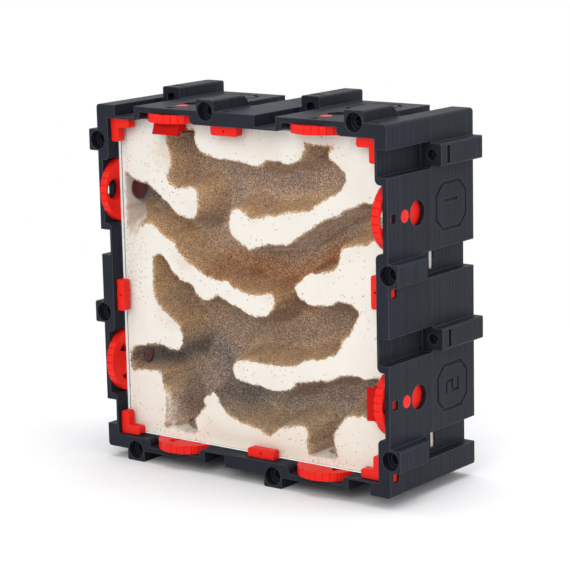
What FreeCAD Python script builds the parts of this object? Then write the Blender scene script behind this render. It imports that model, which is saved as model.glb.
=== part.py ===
"""Ant habitat: a square nest module that joins to others on all four sides.

A printed housing holds a plaster nest block with carved, sand-lined tunnels behind a clear
pane.  Every side carries two gates.  A gate is a port hole with a knurled shutter wheel behind
it, and the lugs and channels beside it take the screws that tie two modules together.

Frame: +Z up, the pane faces -Y, and the origin lies under the middle of the whole object.
The model is first built about the centre of the housing's front face.  A place on a side is
given by s, the distance run along that side, n, the height over its outer face, and y, the
depth behind the front face.  On the right side s runs down from the top, and the other sides
follow by quarter turns about Y, so that all four are alike.
"""
import FreeCAD, Part
import math
import os

Vec = FreeCAD.Vector

# Housing (mm)
SIDE = 150.0            # outer width and height of the square body
DEPTH = 61.5            # front face to back face
WALL = 5.8              # side walls
BACK = 3.0              # closed back wall
CORNER_R = 1.5          # outer corners of the body
SKIN = 2.3              # what is left of a wall outside a shutter wheel

# Tongues and channels that lock two modules together
LUG_MARGIN = 15.5       # from a module edge to the middle of the nearer lug or channel
LUG_W = 9.2
LUG_H = 4.8
LUG_EDGE = 0.5          # chamfer on its outer edges
FRONT_LUG_LEN = 20.4    # on its outer face; the rear end slopes down at 45 degrees
REAR_LUG_Y = 31.0       # the rear lug runs from here to the back
CHANNEL_W = 10.9
CHANNEL_DEEP = 5.0

# Joining screws and their captive square nuts
HEAD_D = 8.0            # counterbore for a cap head
HEAD_DEEP = 4.2
SCREW_D = 4.5           # clearance hole
NUT_AF = 7.0
NUT_T = 2.2
NUT_HOLE_D = 4.0
NUT_GAP = 0.1           # all round the nut in its slot
NUT_Y = 36.4
ACCESS_LEN = 3.5        # opening through the channel floor by the neighbour's nut
ACCESS_W = 7.2
ACCESS_BEHIND = 1.4     # its middle lies this far behind the nut's

# Clear pane
PANE_Y = 6.2
PANE_T = 3.0

# Shutter wheels
WHEEL_T = 3.6
WHEEL_PROUD = 2.45      # how far the rim stands out of the front face
WHEEL_TEETH = 28
TOOTH_DEEP = 0.5
TOOTH_LAND = 0.74       # share of a tooth that is crest
WHEEL_SKIN_GAP = 0.2
WHEEL_POCKET_GAP = 0.6
WHEEL_INNER_GAP = 0.3
STATION_R = 8.85        # axle to the middle of the port hole
STATION_D = 9.3         # open hole in the wheel
WHEEL_RIM = 1.0         # left outside the open hole
PORT_D = 10.4           # hole through skin and nest wall
SHUT_LAP = 0.2          # the closed station covers the port by this much all round
HUB_WALL = 2.45         # left round the axle, inside the two windows beside the closed station
RELIEF_RIM = 3.9        # left outside those windows
RELIEF_HALF_ANGLE = 54.0
AXLE_D = 5.1
AXLE_GAP = 0.1
NOTCH_HALF = 13.6       # finger notch in the wall's front edge
NOTCH_FLARE_R = 2.4

# Clips that hold the pane, and locks that hold a wheel
CLIP_INSET = 7.7        # from the end of a module run to the middle of the peg
CLIP_LEN = 13.6
CLIP_LEG = 10.0
CLIP_W = 3.9
CLIP_DEEP = 3.9
CLIP_R = 1.0
PEG_W = 3.4
PEG_DEEP = 3.6
PEG_GAP = 0.1
PEG_SHORT = 1.0         # peg tip below the outer face
SLIP = 0.2              # clip to wall
PANE_GAP = 0.1          # clip to pane
DIMPLE_D = 1.1          # pin hole that an edge clip is pulled out by
DIMPLE_DEEP = 1.2
LOCK_LEN = 13.6
LOCK_BODY = 3.2         # height over the wheel's inner face
LOCK_LIP = 1.5          # grip lip on top of the body
LOCK_LIP_DEEP = 2.2
LOCK_LEAN = 1.6         # the front face leans forward by this
LOCK_GAP = 0.3
LOCK_PEG_SHORT = 1.1
LOCK_PEG_W = 3.5

# Plaster nest
NEST_SLIP = 0.2         # block to housing wall
RIM = 2.6               # plaster left between a tunnel and the block's side
LINING_T = 0.8          # sand coat
FLOOR_UNDER_PORT = 1.6  # tunnel floor below the port holes
BARE_RING = 1.5         # plaster without sand round a port
BARE_DEEP = 1.2         # and this far into the tunnel

# Engraved port numbers
FRAME_LONG = 23.0       # from front to back
FRAME_WIDE = 20.4
FRAME_CUT = 5.0         # cut corners
FRAME_LINE = 1.7
FRAME_MARGIN = 5.0      # frame to back edge
DIGIT_H = 10.0
DIGIT_W = 6.0
STROKE = 1.6
ENGRAVE = 0.8

# Places that follow from the sizes above
HALF = SIDE / 2
PITCH = SIDE / 2
PORT_S = PITCH / 2
WHEEL_R = STATION_R + STATION_D / 2 + WHEEL_RIM
WHEEL_Y = WHEEL_R - WHEEL_PROUD
PORT_Y = WHEEL_Y + STATION_R
PEG_Y = PANE_Y - PANE_GAP - CLIP_DEEP / 2
PANE_BACK_Y = PANE_Y + PANE_T
NEST_BACK_Y = DEPTH - BACK
WHEEL_IN_N = -(SKIN + WHEEL_SKIN_GAP + WHEEL_T)
INNER_N = WHEEL_IN_N - WHEEL_INNER_GAP
NEST_HALF = HALF - WALL - NEST_SLIP
TUNNEL_HALF = HALF + INNER_N - RIM
TUNNEL_FLOOR_Y = PORT_Y + PORT_D / 2 + FLOOR_UNDER_PORT
FRAME_Y = DEPTH - FRAME_MARGIN - FRAME_LONG / 2
OVER = 1.0              # how far a cutter runs past the face it opens

# name of the gate, its side in quarter turns from the right, its half of the side, and how far
# the wheel's open hole stands turned away from the front
GATES = [
    ("right_upper", 0, 0, 0.0),
    ("right_lower", 0, 1, 0.0),
    ("bottom_right", 1, 0, 90.0),
    ("bottom_left", 1, 1, 161.0),
    ("left_lower", 2, 0, 175.0),
    ("left_upper", 2, 1, 5.0),
    ("top_left", 3, 0, 0.0),
    ("top_right", 3, 1, -8.0),
]
LOCKED_GATES = ["right_lower", "top_left"]
EDGE_CLIPS = ["right", "bottom", "left", "top"]
CORNER_CLIPS = ["bottom_right", "bottom_left", "top_left", "top_right"]

# Bars of a plain seven-bar figure that each port number lights
FIGURES = {1: "bc", 2: "abged", 3: "abgcd", 4: "fgbc", 5: "afgcd", 6: "afgedc", 7: "abc", 8: "abcdefg"}

# Tunnels as runs of (x, z, half width), drawn on a nest of this half width
MAP_HALF = 69.0
TUNNELS = [
    [(-34, 62, 7.2), (-33.5, 49, 8.2), (-18, 46, 8.2), (-5, 44.5, 9.8), (5, 42.8, 10), (20, 45.3, 10.4),
     (31, 48.5, 10.4), (39, 51.5, 9.4)],
    [(-18, 46, 8.2), (-18, 33, 7.2), (-19, 20, 8.5)],
    [(-60, 36.5, 5.6), (-50, 31.5, 6.3), (-40, 25, 6.6), (-30, 18.5, 8.6), (-19, 15, 8.8), (-6, 12, 9.5),
     (4, 9.8, 9.4), (12, 11.5, 9.8), (24, 16.5, 8.4), (36, 22, 8.8), (45, 27, 8.5), (53, 32.5, 7.3),
     (62, 36.5, 7)],
    [(19.5, 9, 6), (19, -4, 5.6)],
    [(-48.3, 6, 4.3), (-45, -3, 6.4), (-37, -10, 7.6), (-22, -16, 11), (-5, -19, 10.8), (8, -20, 9.8),
     (18, -17.5, 10.4), (28, -13.6, 11), (38, -11.5, 10.2), (46.5, -7, 7)],
    [(-22, -16, 11), (-22.5, -32, 12.6), (-31, -38, 10.2), (-37, -48, 9.8), (-37.5, -60, 7.4)],
    [(-60, -36, 5.9), (-44, -35, 6.6), (-31, -38, 10.2)],
    [(-22.5, -32, 12.6), (-11, -45, 8.8), (1, -49.3, 8.9), (9, -50, 9), (18, -47, 7.6), (28, -44, 8.6),
     (38, -40.5, 8.6), (48, -38, 8.7), (60, -37, 8)],
    [(35, -44, 8.4), (36, -60, 7)],
    [(35, 50, 8), (36, 62, 7)],
]
# Where a run starts towards each port: the last point above, by side and half of the side
MOUTHS = [(62, 36.5, 7), (60, -37, 8), (36, -60, 7), (-37.5, -60, 7.4), (-60, -36, 5.9), (-60, 36.5, 5.6),
          (-34, 62, 7.2), (36, 62, 7)]


def on_side(shape, side):
    """A copy of a shape built for the right side, turned to another side."""
    turned = shape.copy()
    turned.rotate(Vec(0, 0, 0), Vec(0, 1, 0), 90 * side)
    return turned


def side_point(s, n, y):
    return Vec(HALF + n, y, HALF - s)


def side_box(s_mid, s_width, n_low, n_high, y_front, y_back):
    corner = side_point(s_mid + s_width / 2, n_low, y_front)
    return Part.makeBox(n_high - n_low, y_back - y_front, s_width, corner)


def side_bore(radius, s, y, n_low, n_high):
    """A cylinder that runs straight through the wall."""
    return Part.makeCylinder(radius, n_high - n_low, side_point(s, n_low, y), Vec(1, 0, 0))


def deep_bore(radius, s, n, y_front, y_back):
    """A cylinder that runs from front to back."""
    return Part.makeCylinder(radius, y_back - y_front, side_point(s, n, y_front), Vec(0, 1, 0))


def side_profile(points_yn, s_mid, s_width):
    """A closed outline in depth and height, as wide as s_width along the side."""
    start = s_mid + s_width / 2
    corners = [side_point(start, n, y) for y, n in points_yn]
    return Part.Face(Part.makePolygon(corners + corners[:1])).extrude(Vec(0, 0, s_width))


def long_edges(shape, direction, keep):
    """The straight edges along a direction whose middle passes a test."""
    found = []
    for edge in shape.Edges:
        run = edge.Vertexes[-1].Point - edge.Vertexes[0].Point
        if run.Length > 0 and run.normalize().cross(direction).Length < 1e-6 and keep(edge.CenterOfMass):
            found.append(edge)
    return found


def front_lug(s_mid):
    outline = [
        (0, -OVER),
        (0, LUG_H),
        (FRONT_LUG_LEN, LUG_H),
        (FRONT_LUG_LEN + LUG_H, 0),
        (FRONT_LUG_LEN + LUG_H, -OVER),
    ]
    lug = side_profile(outline, s_mid, LUG_W)
    edges = long_edges(lug, Vec(0, 1, 0), lambda mid: mid.x > HALF + LUG_H - 0.01)
    return lug.makeChamfer(LUG_EDGE, edges)


def rear_lug(s_mid):
    lug = side_box(s_mid, LUG_W, -OVER, LUG_H, REAR_LUG_Y, DEPTH)
    top = HALF + LUG_H - 0.01
    edges = long_edges(lug, Vec(0, 1, 0), lambda mid: mid.x > top)
    edges += long_edges(lug, Vec(0, 0, 1), lambda mid: mid.x > top and mid.y > DEPTH - 0.01)
    return lug.makeChamfer(LUG_EDGE, edges)


def finger_notch(s_mid):
    """The notch that bares the wheel's rim, flared where it meets the inside of the wall."""
    flare_n = -WALL + NOTCH_FLARE_R
    flare_s = NOTCH_HALF + NOTCH_FLARE_R
    lean = NOTCH_FLARE_R * (1 - math.sqrt(0.5))

    def at(s, n):
        return side_point(s_mid + s, n, -OVER)

    corners = [at(-NOTCH_HALF, -SKIN), at(NOTCH_HALF, -SKIN), at(NOTCH_HALF, flare_n)]
    right = Part.Arc(at(NOTCH_HALF, flare_n), at(NOTCH_HALF + lean, -WALL + lean), at(flare_s, -WALL))
    left = Part.Arc(at(-flare_s, -WALL), at(-NOTCH_HALF - lean, -WALL + lean), at(-NOTCH_HALF, flare_n))
    back = [at(flare_s, -WALL), at(flare_s, -WALL - OVER), at(-flare_s, -WALL - OVER), at(-flare_s, -WALL)]
    edges = Part.makePolygon(corners).Edges + [right.toShape()]
    edges += Part.makePolygon(back).Edges + [left.toShape()]
    edges += Part.makePolygon([at(-NOTCH_HALF, flare_n), at(-NOTCH_HALF, -SKIN)]).Edges
    outline = Part.Wire(Part.__sortEdges__(edges))
    return Part.Face(outline).extrude(Vec(0, PANE_Y + OVER, 0))


def figure_bars(number):
    """The bars of one figure, read with its head to the front: across is s and up is towards -y."""
    across = DIGIT_W / 2 - STROKE / 2
    up = DIGIT_H / 2 - STROKE / 2
    flat = (DIGIT_W, STROKE)
    tall = (STROKE, DIGIT_H / 2 + STROKE / 2)
    places = {
        "a": (0, up, flat),
        "g": (0, 0, flat),
        "d": (0, -up, flat),
        "b": (across, up / 2, tall),
        "f": (-across, up / 2, tall),
        "c": (across, -up / 2, tall),
        "e": (-across, -up / 2, tall),
    }
    return [places[bar] for bar in FIGURES[number]]


def frame_blank(s_mid, inset, n_low, n_high):
    """An oblong with cut corners in the outer face, this far inside the frame's outline."""
    long = FRAME_LONG / 2 - inset
    wide = FRAME_WIDE / 2 - inset
    cut = FRAME_CUT - inset * (2 - math.sqrt(2))
    outline = [(-long, -wide + cut), (-long + cut, -wide), (long - cut, -wide), (long, -wide + cut)]
    outline += [(-y, -s) for y, s in outline]
    corners = [side_point(s_mid + s, n_low, FRAME_Y + y) for y, s in outline]
    return Part.Face(Part.makePolygon(corners + corners[:1])).extrude(Vec(n_high - n_low, 0, 0))


def engraving(number, s_mid):
    groove = frame_blank(s_mid, 0, -ENGRAVE, OVER)
    cutters = [groove.cut(frame_blank(s_mid, FRAME_LINE, -ENGRAVE - OVER, OVER + OVER))]
    for across, up, (width, height) in figure_bars(number):
        middle = FRAME_Y - up
        cutters.append(side_box(s_mid - across, width, -ENGRAVE, OVER, middle - height / 2, middle + height / 2))
    return cutters


def gate_cutters(start):
    """Everything cut from one half of a side, whose run starts at s = start."""
    lug_rear_s = start + LUG_MARGIN
    lug_front_s = start + PITCH - LUG_MARGIN
    port_s = start + PORT_S
    clip_s = start + PITCH - CLIP_INSET
    channel_y = FRONT_LUG_LEN + LUG_H
    access_y = NUT_Y + ACCESS_BEHIND
    nut_room = NUT_AF / 2 + NUT_GAP
    slot_half = NUT_T / 2 + NUT_GAP
    screw_r = SCREW_D / 2
    window = (PEG_W + 2 * PEG_GAP, PEG_DEEP / 2 + PEG_GAP)
    lock_window = LOCK_PEG_W + 4 * PEG_GAP
    return [
        side_box(lug_rear_s, CHANNEL_W, -CHANNEL_DEEP, OVER, -OVER, REAR_LUG_Y),
        side_box(lug_front_s, CHANNEL_W, -CHANNEL_DEEP, OVER, channel_y, DEPTH + OVER),
        side_box(lug_front_s, ACCESS_W, -WALL - OVER, OVER, access_y - ACCESS_LEN / 2, access_y + ACCESS_LEN / 2),
        deep_bore(HEAD_D / 2, lug_front_s, 0, -OVER, HEAD_DEEP),
        deep_bore(screw_r, lug_front_s, 0, -OVER, channel_y + OVER),
        deep_bore(screw_r, lug_rear_s, 0, REAR_LUG_Y - OVER, DEPTH + OVER),
        side_box(lug_rear_s, 2 * nut_room, -nut_room, LUG_H + OVER, NUT_Y - slot_half, NUT_Y + slot_half),
        side_bore(PORT_D / 2, port_s, PORT_Y, -WALL - OVER, OVER),
        side_bore(AXLE_D / 2 + AXLE_GAP, port_s, WHEEL_Y, -WALL - OVER, OVER),
        side_bore(WHEEL_R + WHEEL_POCKET_GAP, port_s, WHEEL_Y, -WALL - OVER, -SKIN),
        finger_notch(port_s),
        side_box(port_s, lock_window, -SKIN - OVER, OVER, PEG_Y - window[1], PEG_Y + window[1]),
        side_box(clip_s, window[0], -WALL - OVER, OVER, PEG_Y - window[1], PEG_Y + window[1]),
    ]


def make_housing():
    outside = Part.makeBox(SIDE, DEPTH, SIDE, Vec(-HALF, 0, -HALF))
    outside = outside.makeFillet(CORNER_R, long_edges(outside, Vec(0, 1, 0), lambda mid: True))
    inner = SIDE - 2 * WALL
    cavity = Part.makeBox(inner, NEST_BACK_Y + OVER, inner, Vec(-inner / 2, -OVER, -inner / 2))
    shell = outside.cut(cavity)
    lugs = []
    cutters = []
    for number, (name, side, half, turn) in enumerate(GATES, start=1):
        start = half * PITCH
        lugs.append(on_side(front_lug(start + PITCH - LUG_MARGIN), side))
        lugs.append(on_side(rear_lug(start + LUG_MARGIN), side))
        cutters += [on_side(cutter, side) for cutter in gate_cutters(start)]
        cutters += [on_side(cutter, side) for cutter in engraving(number, start + PORT_S)]
    return shell.multiFuse(lugs).removeSplitter().cut(cutters)


def knurled_disc():
    """The wheel's toothed outline, round the X axis, as thick as the wheel."""
    step = 2 * math.pi / WHEEL_TEETH
    corners = []
    for tooth in range(WHEEL_TEETH):
        middle = tooth * step
        for turn, radius in [(-TOOTH_LAND / 2, WHEEL_R), (TOOTH_LAND / 2, WHEEL_R), (0.5, WHEEL_R - TOOTH_DEEP)]:
            angle = middle + turn * step
            corners.append(Vec(0, radius * math.cos(angle), radius * math.sin(angle)))
    return Part.Face(Part.makePolygon(corners + corners[:1])).extrude(Vec(WHEEL_T, 0, 0))


def through_wheel(radius, y=0.0):
    return Part.makeCylinder(radius, WHEEL_T + 2 * OVER, Vec(-OVER, y, 0), Vec(1, 0, 0))


def shut_station_windows():
    """The two windows beside the closed station, which lies on the +Y side of the axle."""
    ring = through_wheel(WHEEL_R - RELIEF_RIM).cut(through_wheel(AXLE_D / 2 + HUB_WALL))
    reach = 2 * WHEEL_R
    angle = math.radians(RELIEF_HALF_ANGLE)
    corners = [
        Vec(-OVER, 0, 0),
        Vec(-OVER, reach * math.cos(angle), reach * math.sin(angle)),
        Vec(-OVER, 2 * reach, 0),
        Vec(-OVER, reach * math.cos(angle), -reach * math.sin(angle)),
    ]
    sector = Part.Face(Part.makePolygon(corners + corners[:1])).extrude(Vec(WHEEL_T + 2 * OVER, 0, 0))
    return ring.common(sector).cut(through_wheel(PORT_D / 2 + SHUT_LAP, STATION_R))


def make_wheel(side, half, turn):
    wheel = knurled_disc()
    axle = Part.makeCylinder(AXLE_D / 2, WHEEL_T + WHEEL_SKIN_GAP + SKIN, Vec(0, 0, 0), Vec(1, 0, 0))
    wheel = wheel.fuse(axle).cut([through_wheel(STATION_D / 2, -STATION_R), shut_station_windows()])
    wheel.rotate(Vec(0, 0, 0), Vec(1, 0, 0), turn)
    wheel.translate(side_point(half * PITCH + PORT_S, WHEEL_IN_N, WHEEL_Y))
    return on_side(wheel, side)


def make_lock(side, half):
    s_mid = half * PITCH + PORT_S
    foot = WHEEL_IN_N - LOCK_GAP
    body = foot - LOCK_BODY
    lip = body - LOCK_LIP
    rear = PANE_Y - LOCK_GAP
    outline = [
        (LOCK_LEAN, foot),
        (rear, foot),
        (rear, body),
        (LOCK_LIP_DEEP, body),
        (LOCK_LIP_DEEP, lip),
        (0, lip),
    ]
    block = side_profile(outline, s_mid, LOCK_LEN)
    half_peg = PEG_DEEP / 2 - PEG_GAP
    peg = side_box(s_mid, LOCK_PEG_W, foot - OVER, -LOCK_PEG_SHORT, PEG_Y - half_peg, PEG_Y + half_peg)
    return on_side(block.fuse(peg).removeSplitter(), side)


def with_peg(body, clip_s):
    """A clip body with the peg that holds it in the wall."""
    outer = -WALL - SLIP
    peg = side_box(clip_s, PEG_W, outer - OVER, -PEG_SHORT, PEG_Y - PEG_DEEP / 2, PEG_Y + PEG_DEEP / 2)
    return body.fuse(peg).removeSplitter()


def make_edge_clip(side):
    clip_s = PITCH - CLIP_INSET
    outer = -WALL - SLIP
    front = PEG_Y - CLIP_DEEP / 2
    body = side_box(clip_s, CLIP_LEN, outer - CLIP_W, outer, front, PEG_Y + CLIP_DEEP / 2)
    body = body.makeFillet(CLIP_R, long_edges(body, Vec(0, 1, 0), lambda mid: mid.x < HALF + outer - 0.01))
    dimple = deep_bore(DIMPLE_D / 2, clip_s, outer - CLIP_W / 2, front - OVER, front + DIMPLE_DEEP)
    return on_side(with_peg(body, clip_s).cut(dimple), side)


def make_corner_clip(side):
    clip_s = SIDE - CLIP_INSET
    outer = -WALL - SLIP
    corner = SIDE + outer
    front = PEG_Y - CLIP_DEEP / 2
    back = PEG_Y + CLIP_DEEP / 2
    along = side_box(corner - CLIP_LEG / 2, CLIP_LEG, outer - CLIP_W, outer, front, back)
    across = side_box(corner - CLIP_W / 2, CLIP_W, outer - CLIP_LEG, outer, front, back)
    body = along.fuse(across).removeSplitter()
    tips = long_edges(body, Vec(0, 1, 0), lambda mid: near_tip(mid, corner - CLIP_LEG, outer - CLIP_LEG))
    body = body.makeFillet(CLIP_R, tips)
    return on_side(with_peg(body, clip_s), side)


def near_tip(mid, tip_s, tip_n):
    """True on the end faces of a corner clip's two legs."""
    return abs(mid.z - (HALF - tip_s)) < 0.01 or abs(mid.x - (HALF + tip_n)) < 0.01


def make_pane():
    half = HALF + INNER_N
    return Part.makeBox(2 * half, PANE_T, 2 * half, Vec(-half, PANE_Y, -half))


def make_nuts():
    nuts = []
    for name, side, half, turn in GATES:
        s_mid = half * PITCH + LUG_MARGIN
        blank = side_box(s_mid, NUT_AF, -NUT_AF / 2, NUT_AF / 2, NUT_Y - NUT_T / 2, NUT_Y + NUT_T / 2)
        nuts.append(on_side(blank.cut(deep_bore(NUT_HOLE_D / 2, s_mid, 0, NUT_Y - NUT_T, NUT_Y + NUT_T)), side))
    return Part.makeCompound(nuts)


def run_outline(first, last, grow):
    """The flat outline round two neighbouring points of a tunnel run."""
    (x1, z1, r1), (x2, z2, r2) = first, last
    r1 += grow
    r2 += grow
    length = math.hypot(x2 - x1, z2 - z1)
    heading = math.atan2(z2 - z1, x2 - x1)
    spread = math.acos((r1 - r2) / length)

    def rim(x, z, radius, angle):
        return Vec(x + radius * math.cos(angle), PANE_BACK_Y, z + radius * math.sin(angle))

    left, right = heading + spread, heading - spread
    a, b = rim(x1, z1, r1, left), rim(x2, z2, r2, left)
    c, d = rim(x2, z2, r2, right), rim(x1, z1, r1, right)
    nose = Part.Arc(b, rim(x2, z2, r2, heading), c).toShape()
    tail = Part.Arc(d, rim(x1, z1, r1, heading + math.pi), a).toShape()
    sides = [Part.makePolygon([a, b]).Edges[0], Part.makePolygon([c, d]).Edges[0]]
    return Part.Face(Part.Wire([sides[0], nose, sides[1], tail]))


def scaled(point):
    ratio = NEST_HALF / MAP_HALF
    return tuple(value * ratio for value in point)


def port_point(side, half, reach, radius):
    """The point in front of a port, at a distance from the middle of the nest."""
    place = on_side(Part.Vertex(Vec(reach, 0, HALF - half * PITCH - PORT_S)), side).Point
    return (place.x, place.z, radius)


def tunnel_faces(grow):
    faces = []
    for run in TUNNELS:
        points = [scaled(point) for point in run]
        faces += [run_outline(a, b, grow) for a, b in zip(points, points[1:])]
    for (name, side, half, turn), mouth in zip(GATES, MOUTHS):
        start = scaled(mouth)
        faces.append(run_outline(start, port_point(side, half, TUNNEL_HALF + PORT_D / 2, start[2]), grow))
    return faces


def tunnels(grow, end_wall, floor_y):
    """All tunnels as one solid, cut off square where they meet the rim of the block."""
    faces = tunnel_faces(grow)
    plan = faces[0].multiFuse(faces[1:]).removeSplitter()
    half = TUNNEL_HALF - end_wall
    limit = Part.makeBox(2 * half, DEPTH, 2 * half, Vec(-half, 0, -half))
    return plan.extrude(Vec(0, floor_y - PANE_BACK_Y, 0)).common(limit)


def port_cutters(radius, n_low, n_high):
    return [
        on_side(side_bore(radius, half * PITCH + PORT_S, PORT_Y, n_low, n_high), side)
        for name, side, half, turn in GATES
    ]


def make_nest_block():
    half = NEST_HALF
    block = Part.makeBox(2 * half, NEST_BACK_Y - PANE_BACK_Y, 2 * half, Vec(-half, PANE_BACK_Y, -half))
    reliefs = []
    for name, side, start, turn in GATES:
        s_mid = start * PITCH + PORT_S
        reliefs.append(on_side(side_bore(WHEEL_R + 2 * WHEEL_POCKET_GAP, s_mid, WHEEL_Y, INNER_N, 0), side))
    ports = port_cutters(PORT_D / 2, INNER_N - RIM - OVER, 0)
    return block.cut(reliefs + ports + [tunnels(0, 0, TUNNEL_FLOOR_Y)])


def make_sand_lining():
    coat = tunnels(0, 0, TUNNEL_FLOOR_Y).cut(tunnels(-LINING_T, LINING_T, TUNNEL_FLOOR_Y - LINING_T))
    reach = PORT_D / 2 + BARE_RING
    bare = []
    for name, side, half, turn in GATES:
        s_mid = half * PITCH + PORT_S
        low = INNER_N - RIM - BARE_DEEP
        bare.append(on_side(side_box(s_mid, 2 * reach, low, 0, PANE_Y, PORT_Y + reach), side))
    return coat.cut(bare)


def all_parts():
    parts = {
        "housing": make_housing(),
        "nest_block": make_nest_block(),
        "sand_lining": make_sand_lining(),
        "front_pane": make_pane(),
        "square_nuts": make_nuts(),
    }
    for name, side, half, turn in GATES:
        parts["wheel_" + name] = make_wheel(side, half, turn)
        if name in LOCKED_GATES:
            parts["lock_" + name] = make_lock(side, half)
    for side, name in enumerate(EDGE_CLIPS):
        parts["edge_clip_" + name] = make_edge_clip(side)
    for side, name in enumerate(CORNER_CLIPS):
        parts["corner_clip_" + name] = make_corner_clip(side)
    return parts


def main():
    os.makedirs("parts", exist_ok=True)
    middle_y = (DEPTH - WHEEL_PROUD) / 2
    to_origin = Vec(0, -middle_y, HALF + LUG_H)
    for node, shape in all_parts().items():
        shape.translate(to_origin)
        shape.exportStep("parts/" + node + ".step")


main()
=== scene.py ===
"""Ant habitat: materials, the detailed plaster nest with its sand, and a plain studio."""
import functools
import math

import bmesh
import bpy
import numpy as np
from mathutils import Matrix, Vector


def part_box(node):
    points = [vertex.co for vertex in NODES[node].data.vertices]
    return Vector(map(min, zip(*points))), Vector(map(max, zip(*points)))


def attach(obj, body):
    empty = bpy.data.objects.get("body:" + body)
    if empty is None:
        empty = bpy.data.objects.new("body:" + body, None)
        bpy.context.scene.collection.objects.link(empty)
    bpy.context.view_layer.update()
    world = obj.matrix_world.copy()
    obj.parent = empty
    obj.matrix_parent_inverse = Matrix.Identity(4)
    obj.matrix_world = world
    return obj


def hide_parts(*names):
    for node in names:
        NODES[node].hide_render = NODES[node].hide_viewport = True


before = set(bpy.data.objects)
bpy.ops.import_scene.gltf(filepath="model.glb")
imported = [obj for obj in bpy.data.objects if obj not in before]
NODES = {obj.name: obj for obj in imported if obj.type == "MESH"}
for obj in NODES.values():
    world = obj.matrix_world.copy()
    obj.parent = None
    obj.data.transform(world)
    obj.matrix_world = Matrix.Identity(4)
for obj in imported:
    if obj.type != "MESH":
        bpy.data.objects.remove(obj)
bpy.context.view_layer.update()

MM = 0.001
X, Y, Z = range(3)

# ---------------------------------------------------------------- sizes of the nest, in millimetres

# Places taken from the CAD, in metres; the carved face lies a little behind the front of the block
FACE_GAP = 0.05
NEST_LOW, NEST_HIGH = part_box("nest_block")
MIDDLE_Z = (NEST_LOW.z + NEST_HIGH.z) / 2
FACE_Y = NEST_LOW.y + FACE_GAP * MM

# The nest's own sizes, as in part.py: each port is a distance along a side, and a side
RIM_HALF = 68.85
FLOOR_DEEP = 17.6
CARVED_DEEP = 20.2
PORT_R = 5.2
PORT_DEEP = 11.7
PORT_ALONG = 37.5
PORTS = [(s, side) for side in range(4) for s in (PORT_ALONG, -PORT_ALONG)]

# The port's mouth in the plaster: how far out it starts, its flare and the notch in front of one of them
MOUTH_OUT = 62.3
MOUTH_R = 6.2
NOTCH_OUT = 68.4
NOTCH_FORWARD = 3.0
NOTCHED = (-PORT_ALONG, 2)

# A bore's cutter: how far past the rim it reaches, its sides and the distance between its rings of points
BORE_PAST = 0.5
BORE_SIDES = 72
RING_STEP = 0.7

# The carved relief: the gap left at its outer edge, its grid, the voxels of its mesh, and how far forward of
# FACE_Y the plaster's face lies
RELIEF_GAP = 0.05
RELIEF_STEP = 0.4
FINE_VOXEL = 0.45
FACE_PROUD = 0.03

# The plain shell behind: how far it reaches into the relief, and its worn edge
SHELL_LAP = 0.4
SHELL_EDGE = 0.3

# A wall's run from the face to the floor: least, more away from the rim, its waves, more where it is gentle,
# and how far in from the rim it has grown; then how round the wall is, and the waves of the depth
WALL_RUN = 1.4
WALL_RUN_INSIDE = 3.6
WALL_RUN_WAVE = 0.8
WALL_RUN_GENTLE = 6
RIM_FADE = 6
WALL_POWER = 2.2
FLOOR_WAVE = 0.05

# How the tunnels' edge is warped, blurred and roughened
EDGE_WARP = 0.4
EDGE_BLUR = 0.9
EDGE_GRIT = 0.32

# Where the tunnels stop at the rim
LEFT_END = -67.0
RIGHT_END = 66.0
LOW_END = -65.4
HIGH_END = 65.8

# The grid on which distances from the plaster's edges are kept
FIELD_HALF = 72.0
FIELD_STEP = 0.5

# The coat of sand: its thickness, its grains, the depth over which it begins, how far it spills over an edge
# and how far past the floor it goes
COAT_THICK = 0.45
GRAIN_HEIGHT = 0.04
GRAIN_SEED = 11
COAT_BEGINS = 0.6
COAT_SPILLS = 0.6
COAT_PAST_FLOOR = 1.6

# The coat's edge: its raggedness, over what distance it ends at the floor and at the rim, the share of its
# thickness by which it dips into the plaster, and the share at which it is cut off
COAT_GRIT = 0.25
COAT_WAVE = 0.35
COAT_END_FLOOR = 0.5
COAT_END_RIM = 0.3
COAT_DIP = -0.4
COAT_CUT = -0.35

# Near the rim and behind this depth, sand lies outside the tunnels' outline too, up to just inside the rim;
# the lift is a number past any distance there
RIM_SAND_OUT = 64
RIM_SAND_DEEP = 2.5
RIM_SAND_GAP = 0.2
RIM_SAND_LIFT = 20

# How far out the sand reaches at the ports, and how deep the bare wall beside the upper left one goes
RING_OUT = 66.8
BARE_DEEP = 13.0
BARE_FADE = 1.5

# How far from an edge ochre sand reaches, how far below one, and how patchy ochre, rust and grey are; the
# ochre is the sand's own tone, laid as painted light from above, most just above a lower edge
OCHRE_REACH = 7.0
OCHRE_BELOW = 5.0
OCHRE_PATCHY = 0.4
RUST_PATCHY = 0.35
GREY_PATCHY = 0.42

# How far out, and how far round a port's axis, the wheels carry painted shade
WHEEL_SHADE_OUT = 72.2
WHEEL_SHADE_R = 6.0

# Waves in the plaster and the sand: their size and seed
WAVES = {
    "warp_x": (5, 1),
    "warp_x_fine": (2.1, 2),
    "warp_z": (5, 3),
    "warp_z_fine": (2.1, 4),
    "edge_grit": (1.1, 5),
    "wall": (13, 6),
    "floor": (8, 7),
    "coat_grit": (1.3, 21),
    "coat": (5, 22),
    "patch": (11, 31),
    "patch_fine": (4, 32),
}
WAVE_TABLE = 400

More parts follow.
